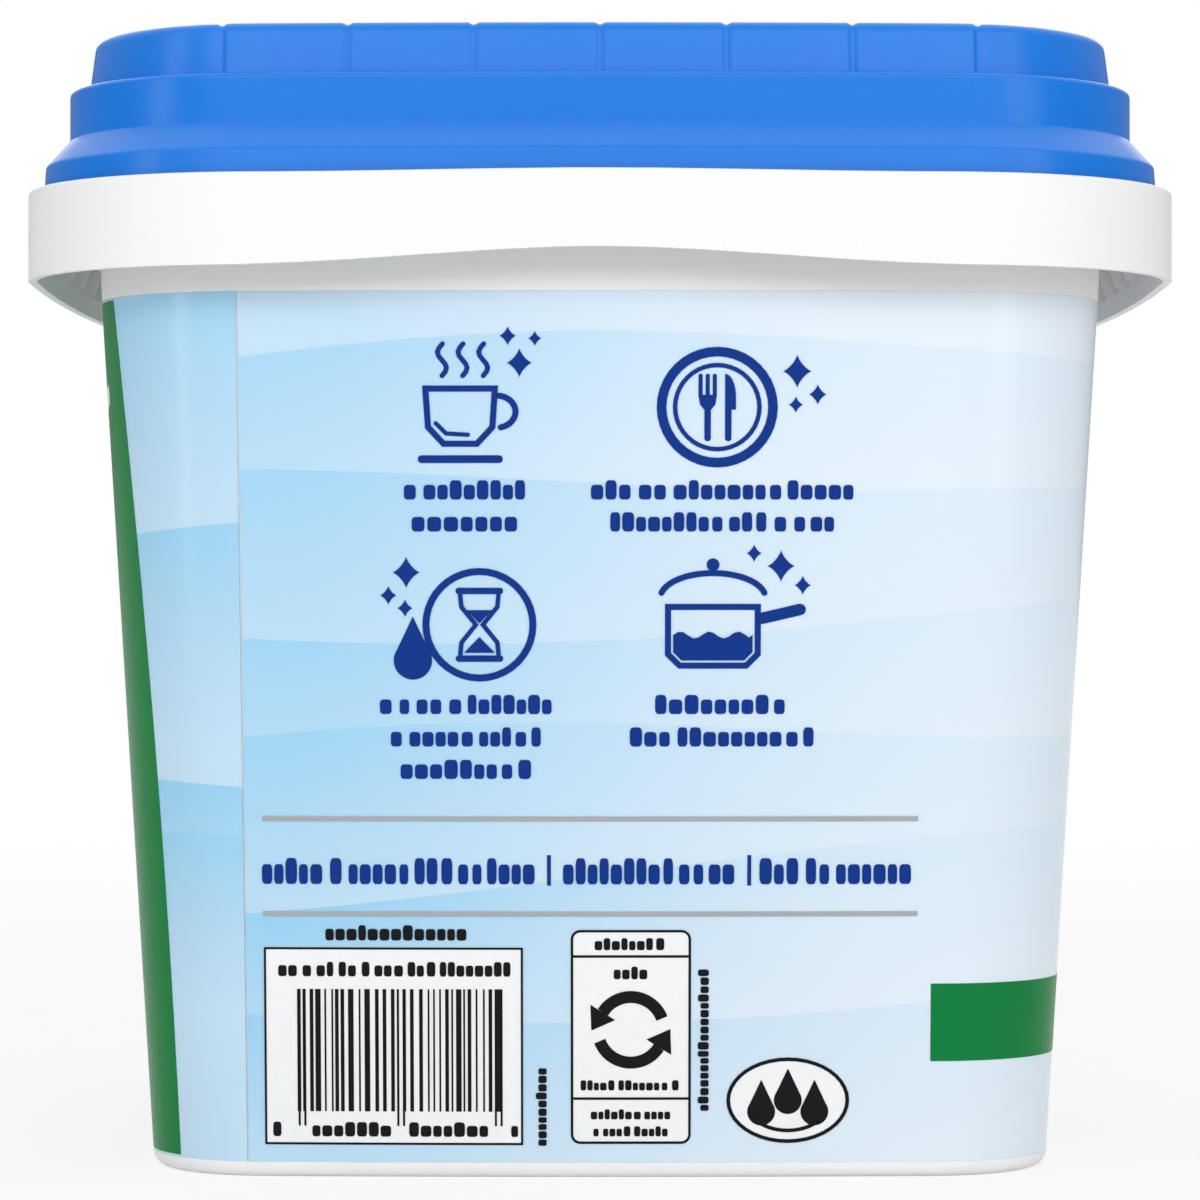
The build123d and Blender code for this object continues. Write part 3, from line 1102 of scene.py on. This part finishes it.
def draw_pan(ink):
    """A saucepan with a lid, part filled, and sparkles."""
    pan = [(-8.0, 2.0), (-8.0, -5.4), (-6.2, -7.2), (4.2, -7.2), (6.0, -5.4), (6.0, 2.0)]
    ink.line(pan, closed=True)
    ink.line([(6.6, 0.2), (12.6, 1.6)], 1.9)
    ink.line(arc(-1.0, 3.4, 8.2, 3.9, 12, 168, 20))
    ink.shape(arc(-1.0, 8.6, 1.0, 1.0))
    surface = [(-7.2 + i * 0.79, -2.4 + 0.55 * math.sin(i * 1.1)) for i in range(16)]
    water = [(-7.2, -5.1), (-5.9, -6.4), (3.9, -6.4), (5.2, -5.1), (5.2, -2.4)]
    ink.shape(water + surface[::-1])
    ink.sparkles((9.6, 8.4, 5.0), (13.0, 5.4, 3.0), (5.4, 10.4, 2.8))


def draw_front(inks, rows):
    """The front's wash symbols with their rows of blocks, and the rules."""
    navy, silver = inks["navy"], inks["silver"]
    for draw, x, z in (
        (draw_cup, -20.9, 121.9),
        (draw_plate, 18.2, 121.4),
        (draw_timer, -18.8, 87.4),
        (draw_pan, 18.6, 88.2),
    ):
        navy.origin = (x, z)
        draw(navy)
    navy.origin = (0, 0)
    for x, *lines in (
        (-21.0, (107.0, 19), (102.0, 16.6)),
        (19.1, (107.0, 41), (102.0, 35)),
        (-20.9, (73.4, 27), (68.3, 23.6), (63.2, 20.6)),
        (19.1, (73.4, 21), (68.3, 28.9)),
    ):
        for z, long in lines:
            rows.row(navy, x, z, long, 3.0)
    for z in (56.9, 41.9):
        silver.box(-53.0, z - 0.4, 49.9, z + 0.4)
    for x, long in ((-31.6, 43), (7.7, 27), (37.0, 24)):
        rows.row(navy, x, 46.6, long, 4.1, count=round(long / 2.1))
    for x in (-8.0, 23.4):
        navy.box(x - 0.3, 46.4, x + 0.3, 51.2)
    draw_bar_code(inks["black"], inks["white"], rows)
    draw_recycling(inks["black"], inks["white"], rows)
    draw_oval(inks["black"], inks["white"])


def draw_bar_code(black, white, rows):
    """A framed bar code that encodes nothing, with rows of blocks for its numbers."""
    rows.row(black, -32.0, 37.7, 22.3, 2.4, words=0)
    frame_box = (-52.9, 5.3, -12.1, 36.6)
    white.box(*frame_box)
    black.frame(*frame_box, 0, 0.35)
    rows.row(black, -32.3, 32.0, 36.7, 2.3)
    rows.row(black, -31.4, 10.6, 32.6, 19.4, count=30, bars=True)
    for x in (-47.4, -46.5, -31.8, -30.9, -16.4, -15.5):
        black.box(x - 0.17, 8.3, x + 0.17, 30.0)
    for x, long in ((-39.1, 12.6), (-23.8, 12.6), (-50.9, 1.4), (-13.4, 1.2)):
        rows.row(black, x, 6.6, long, 2.3, words=0, count=max(1, round(long / 1.9)))
    rows.row(black, -8.4, 11.4, 12.4, 1.7, upright=True, words=0)


def draw_recycling(black, white, rows):
    """A framed panel with a loop of two arrows between rows of blocks."""
    left, right, middle = -4.6, 14.3, 4.85
    white.box(left, 5.5, right, 39.4, 1.5)
    black.frame(left, 5.5, right, 39.4, 1.5, 0.4)
    for z in (35.2, 12.7):
        black.box(left + 0.4, z - 0.2, right - 0.4, z + 0.2)
    for z, long, high in (
        (36.2, 11.4, 1.9),
        (9.4, 12.61, 1.6),
        (6.7, 11.8, 1.6),
        (14.0, 15.8, 1.6),
        (31.6, 5.4, 2.0),
    ):
        rows.row(black, middle, z, long, high)
    radius, height, sweep = 5.2, 23.6, 128
    for start in (20, 200):
        black.line(arc(middle, height, radius, radius, start, start + sweep, 20), 1.9, ends=False)
        angle = math.radians(start + sweep)
        ahead = Vector((-math.sin(angle), math.cos(angle)))
        side = Vector((-ahead.y, ahead.x))
        tail = Vector((middle, height)) - side * radius
        black.shape([tail + side * 2.3, tail + ahead * 3.4, tail - side * 2.3])
    rows.row(black, 17.1, 22.0, 22.5, 1.7, upright=True, words=0)


def draw_oval(black, white):
    """An oval with three drops over a curved line."""
    x, z, wide, high = 29.6, 12.4, 9.7, 6.8
    white.shape(arc(x, z, wide, high))
    black.ring(x, z, wide, 0.6, high)
    for aside, up in ((-4.2, -1.8), (4.2, -1.8), (0, 0)):
        black.drop(x + aside, z + up, 2.2)
    black.line(arc(x, z - 0.2, 6.6, 4.6, 205, 335, 20), 0.6)


def draw_right(inks, rows):
    """The green band that starts on the front, and the right side's rows and rules."""
    green = inks["green"]
    green.box(BAND_START - green.origin[0], 18.5, 40, 30.8)
    for x, long in ((-18, 44), (23, 24)):
        rows.row(inks["pale"], x, 22.4, long, 4.6)
    for z in (94, 62, 38):
        inks["silver"].box(-46, z - 0.35, 46, z + 0.35)
    for high, *lines in (
        (6.4, (126, 70), (115, 54)),
        (5, (101, 80)),
        (3.4, (84, 62), (78, 74), (72, 48)),
        (4, (50, 70), (43, 52)),
        (1.8, (12.6, 80), (9.4, 74)),
    ):
        for z, long in lines:
            rows.row(inks["navy"], 0, z, long, high)


def draw_back(inks, rows):
    """The back's print: a large drop in a ring above rows of blocks and a rule."""
    navy = inks["navy"]
    navy.ring(0, 104, 19, 2)
    navy.drop(0, 99, 8.6)
    navy.sparkles((17, 120, 9), (24, 112, 5), (-20, 119, 6))
    inks["silver"].box(-52, 56.5, 52, 57.3)
    rows.row(navy, 0, 71, 76, 7)
    rows.row(navy, 0, 62, 58, 4.4)
    for z, long in ((47, 88), (41, 92), (35, 80), (29, 90), (23, 66)):
        rows.row(navy, 0, z, long, 3.2)


def draw_left(inks, rows):
    """The left side's green panel, with a pale swoosh, rows of blocks and three tiles."""
    pale = inks["pale"]
    margin = 0.4
    low, high = LABEL_LOW.z / MM + margin, LABEL_HIGH.z / MM - margin
    edge = [(68 - 6 * t ** 2, low + (high - low) * t) for t in (i / 12 for i in range(13))]
    inks["green"].shape(edge + [(-x, z) for x, z in reversed(edge)])
    shares = [i / 24 for i in range(25)]
    top = [(116 * t - 58, 104 + 22 * t ** 2) for t in shares]
    under = [(x, z - 3 - 7 * math.sin(math.pi * t)) for (x, z), t in zip(top, shares)]
    pale.shape(under + top[::-1])
    for z, long, tall in ((78, 84, 15), (57, 66, 15), (45, 88, 5), (37, 70, 5)):
        rows.row(pale, 0, z, long, tall, count=round(long / tall))
    for x in (-22, 0, 22):
        pale.box(x - 8, 12, x + 8, 27, 3)
        inks["navy"].ring(x, 19.5, 5, 1.6)


# --- Tablets ---
def tablet_mesh():
    """One tablet on its own origin: a rounded block, with the place on it kept in an
    attribute from -1 to 1 across and from 0 to 1 up."""
    sizes = settings().tablets
    mesh = bmesh.new()
    spot = mesh.verts.layers.float_vector.new("spot")
    half_long, half_short = sizes.long_side / 2, sizes.short_side / 2
    rows = []
    edge, thick = sizes.edge, sizes.thick
    flat, least_corner = edge * 1.5, 1.2 * MM
    profile = [(flat, 0.0)]
    for angle in map(math.radians, (0, 30, 60, 90)):
        profile.append((edge * (1 - math.sin(angle)), edge * (1 - math.cos(angle))))
    for angle in map(math.radians, (0, 30, 60, 85)):
        profile.append((edge * (1 - math.cos(angle)), thick - edge * (1 - math.sin(angle))))
    profile.append((flat, thick))
    for inset, z in profile:
        corner = max(sizes.corner - inset, least_corner)
        x, y = half_long - inset, half_short - inset
        places = box_outline(-x, -y, x, y, corner, 3)
        row = []
        for x, y in places:
            vert = mesh.verts.new((x, y, z))
            vert[spot] = (x / half_long, y / half_short, z / thick)
            row.append(vert)
        rows.append(row)
    count = len(rows[0])
    for low, high in zip(rows, rows[1:]):
        for i in range(count):
            j = (i + 1) % count
            mesh.faces.new((low[i], low[j], high[j], high[i]))
    for row, z in ((rows[0][::-1], 0), (rows[-1], thick)):
        middle = mesh.verts.new((0, 0, z))
        middle[spot] = (0, 0, z / thick)
        for i in range(count):
            mesh.faces.new((row[i], row[(i + 1) % count], middle))
    return new_piece("tablet_shape", mesh, sharp=60)


def tablet_tree():
    """Puts a tablet on each point, turned by the point's own angle."""
    tree = Tree("tablet_heap", Tablet="Object")
    shape = tree.node("GeometryNodeObjectInfo", None, {"Object": tree.input("Tablet")}, "Geometry")
    angle = tree.node("ShaderNodeCombineXYZ", None, {"Z": tree.attribute("turn")})
    inputs = {
        "Points": tree.input("Geometry"),
        "Instance": shape,
        "Rotation": tree.node("FunctionNodeEulerToRotation", None, {0: angle}),
    }
    tree.close(tree.node("GeometryNodeInstanceOnPoints", None, inputs))
    return tree


def make_tablets():
    """All the tablets, each where its CAD solid lies."""
    sizes = settings().tablets
    random.seed(7)
    mesh = bmesh.new()
    turn = mesh.verts.layers.float.new("turn")
    for layer in range(sizes.layers):
        z = sizes.floor + sizes.layer_gap + layer * (sizes.thick + sizes.layer_gap)
        crosswise = layer % 2
        for y in spread(sizes.deep, sizes.short_side + sizes.gap):
            for x in spread(sizes.across, sizes.long_side + sizes.gap):
                vert = mesh.verts.new((-y, x, z) if crosswise else (x, y, z))
                vert[turn] = math.radians(random.uniform(-sizes.turn, sizes.turn) + 90 * crosswise)
    heap = new_piece("tablet_heap", mesh)
    shape = tablet_mesh()
    tablet_tree().apply(heap, Tablet=shape, Material=tablet_film())
    bpy.data.objects.remove(shape)
    return heap


# --- Operators ---
class FinishTub(bpy.types.Operator):
    """Give the tub its white moulded plastic"""

    bl_idname = "tablet_tub.finish_tub"
    bl_label = "Tub"

    def execute(self, context):
        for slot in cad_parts["tub"].material_slots:
            slot.material = tub_plastic()
        return {"FINISHED"}


class MakeLid(bpy.types.Operator):
    """Make the lid with its steps and grooves"""

    bl_idname = "tablet_tub.make_lid"
    bl_label = "Lid"

    def execute(self, context):
        lid = make_lid()
        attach(lid, "lid")
        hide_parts("lid")
        return {"FINISHED"}


class MakeLabel(bpy.types.Operator):
    """Make the wrapped label's film"""

    bl_idname = "tablet_tub.make_label"
    bl_label = "Label"

    def execute(self, context):
        label = make_label()
        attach(label, "tub")
        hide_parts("label")
        return {"FINISHED"}


class MakePrint(bpy.types.Operator):
    """Print the label's symbols, blocks, frames and bars"""

    bl_idname = "tablet_tub.make_print"
    bl_label = "Print"

    def execute(self, context):
        wall = Wall()
        inks = {name: Ink() for name in INKS}
        inks["navy"].pen = settings().print.line / MM
        rows = Rows()
        for turns, draw in enumerate((draw_front, draw_right, draw_back, draw_left)):
            for ink in inks.values():
                ink.origin = (turns * wall.side / MM, 0)
            draw(inks, rows)
        runs = label_runs(wall)
        for ink, (tone, rough, metal, level) in INKS.items():
            name = "print_" + ink
            finish = ink_finish(name, getattr(settings().colours, tone), rough, metal)
            inks[ink].lay(name, finish, level, wall, runs)
        return {"FINISHED"}


class MakeTablets(bpy.types.Operator):
    """Make the layers of tablets"""

    bl_idname = "tablet_tub.make_tablets"
    bl_label = "Tablets"

    def execute(self, context):
        heap = make_tablets()
        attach(heap, "tub")
        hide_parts("tablets")
        return {"FINISHED"}


# --- Stage ---
# Each lamp's place, its width and height, and its power, in metres and watts.
LAMPS = {
    "key": ((-0.45, -1.25, 0.62), (0.9, 0.5), 4.4),
    "fill": ((0.45, -1.25, 0.62), (0.9, 0.5), 4.4),
    "left_strip": ((-1.05, -0.6, 0.3), (0.14, 0.9), 2.4),
    "right_strip": ((0.95, -0.8, 0.3), (0.3, 0.9), 3.0),
    "top": ((0, 0.2, 1.5), (1.4, 1.4), 5),
    "back": ((0, 1.5, 0.9), (1.4, 0.8), 7),
}
FLOOR_HALF = 6.0
CAMERA_PLACE = (0, -0.7525, 0.0894)
CAMERA_TILT = math.radians(90.16)
CAMERA_LENS = 129
CAMERA_SENSOR = 36


def soft_box(name, place, size, power):
    """A rectangular lamp at a place, turned towards the tub's middle."""
    lamp = bpy.data.lights.new(name, "AREA")
    lamp.shape = "RECTANGLE"
    lamp.size, lamp.size_y = size
    lamp.energy = power
    holder = bpy.data.objects.new(name, lamp)
    holder.location = place
    ahead = Vector((0, 0, LID_HIGH.z / 2)) - Vector(place)
    holder.rotation_euler = ahead.to_track_quat("-Z", "Y").to_euler()
    bpy.context.scene.collection.objects.link(holder)


def studio_world():
    """A white world: even light on the tub, white to the camera, and brighter overhead in
    reflections."""
    world = bpy.data.worlds.new("studio")
    graph = fresh_graph(world)
    light, horizon, overhead = 0.38, 0.3, 1.5
    up = graph.split(graph.node("ShaderNodeTexCoord"))[2]
    camera, glossy, clear = seen_by(graph)
    mirrored = horizon + graph.ease(up, 0.1, 0.8) * overhead
    strength = light + camera.most(clear) * (1 - light) + glossy * (mirrored - light)
    sky = graph.node("ShaderNodeBackground", None, {"Color": (1, 1, 1, 1), "Strength": strength})
    graph.node("ShaderNodeOutputWorld", None, {"Surface": sky})
    return world


class MakeStage(bpy.types.Operator):
    """Make the floor, the lamps, the world and the camera"""

    bl_idname = "tablet_tub.make_stage"
    bl_label = "Stage"

    def execute(self, context):
        scene = context.scene
        mesh = bmesh.new()
        corners = ((-1, -1), (1, -1), (1, 1), (-1, 1))
        mesh.faces.new([mesh.verts.new((x * FLOOR_HALF, y * FLOOR_HALF, 0)) for x, y in corners])
        new_piece("floor", mesh, floor_paint())
        for name, lamp in LAMPS.items():
            soft_box(name, *lamp)
        scene.world = studio_world()
        lens = bpy.data.cameras.new("camera")
        lens.sensor_width = CAMERA_SENSOR
        lens.lens = CAMERA_LENS
        camera = bpy.data.objects.new("camera", lens)
        camera.location = CAMERA_PLACE
        camera.rotation_euler = (CAMERA_TILT, 0, 0)
        scene.collection.objects.link(camera)
        scene.camera = camera
        scene.view_settings.view_transform = "Standard"
        return {"FINISHED"}


class TubPanel(bpy.types.Panel):
    """Lists the tub's pieces, sizes and colours"""

    bl_idname = "VIEW3D_PT_tablet_tub"
    bl_label = "Tablet tub"
    bl_space_type = "VIEW_3D"
    bl_region_type = "UI"
    bl_category = "Tablet tub"

    def draw(self, context):
        for step in STEPS:
            self.layout.operator(step.bl_idname)
        choices = settings()
        for group in (choices.wall, choices.lid, choices.tablets, choices.print, choices.colours):
            for name in group.__annotations__:
                self.layout.prop(group, name)


STEPS = (FinishTub, MakeLid, MakeLabel, MakePrint, MakeTablets, MakeStage)
GROUPS = (WallSizes, LidSizes, TabletSizes, PrintSizes, Colours, TubSettings)
CLASSES = (*GROUPS, *STEPS, TubPanel)


def register():
    for cls in CLASSES:
        bpy.utils.register_class(cls)
    bpy.types.Scene.tablet_tub = PointerProperty(type=TubSettings)


def unregister():
    del bpy.types.Scene.tablet_tub
    for cls in reversed(CLASSES):
        bpy.utils.unregister_class(cls)


def main():
    """Make every piece in order."""
    register()
    for step in STEPS:
        getattr(bpy.ops.tablet_tub, step.bl_idname.split(".")[1])()


if __name__ == "__main__":
    main()
